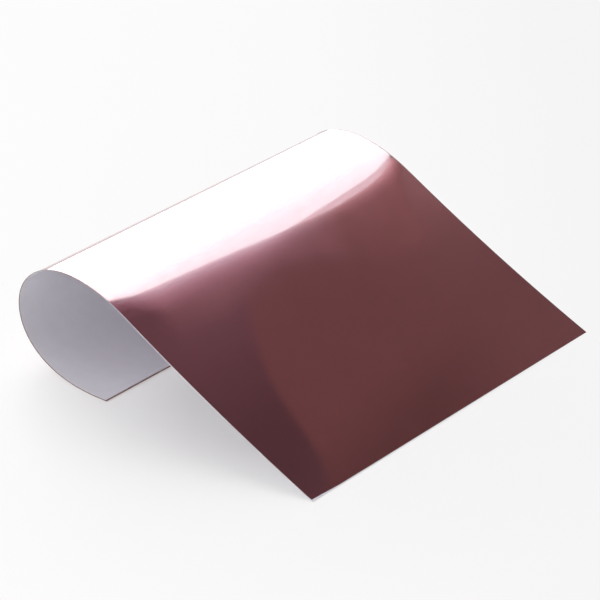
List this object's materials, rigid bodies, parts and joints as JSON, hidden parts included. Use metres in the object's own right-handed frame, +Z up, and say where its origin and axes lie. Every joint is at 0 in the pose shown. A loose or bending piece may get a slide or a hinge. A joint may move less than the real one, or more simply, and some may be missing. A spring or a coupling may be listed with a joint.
{
  "type": "copper foil sheet",
  "caption": "Self-adhesive copper foil sheet with a mirror face and a white release liner, lying curled into a teardrop loop.",
  "frame": {"origin": "on the surface that the sheet lies on, under the middle of the curled sheet's box", "axes": "+X from the nose of the loop towards the free edge, +Y along the loop's axis, across the sheet, +Z up"},
  "size_m": [0.1932, 0.21, 0.0624],
  "materials": {
    "gloss_film": "clear tinted film, mirror smooth",
    "copper_foil": "bright rolled copper, rose-brown under the film",
    "adhesive": "clear acrylic adhesive, matt",
    "release_liner": "white release paper, smooth and slightly satin"
  },
  "bodies": {
    "flap": {"gloss_film_flap": "gloss_film", "copper_foil_flap": "copper_foil", "adhesive_flap": "adhesive"},
    "panel": {"gloss_film_panel": "gloss_film", "copper_foil_panel": "copper_foil", "adhesive_panel": "adhesive"},
    "liner_flap": {"release_liner_flap": "release_liner"},
    "liner_panel": {"release_liner_panel": "release_liner"}
  },
  "joints": [
    {"name": "curl_open", "type": "hinge", "parent": "flap", "child": "panel", "pos_m": [-0.09642, 0, 0.03218], "axis": [0, -1, 0], "range_deg": [0, 75], "stiffness_Nm_per_rad": 0.05},
    {"name": "liner_slide", "type": "slide", "parent": "flap", "child": "liner_flap", "axis": [0, -1, 0], "range_m": [0, 0.215]},
    {"name": "liner_curl_open", "type": "hinge", "parent": "liner_flap", "child": "liner_panel", "pos_m": [-0.09642, 0, 0.03218], "axis": [0, -1, 0], "range_deg": [0, 75]}
  ],
  "couplings": [
    {"joint": "liner_curl_open", "follows": "curl_open", "ratio": 1}
  ]
}
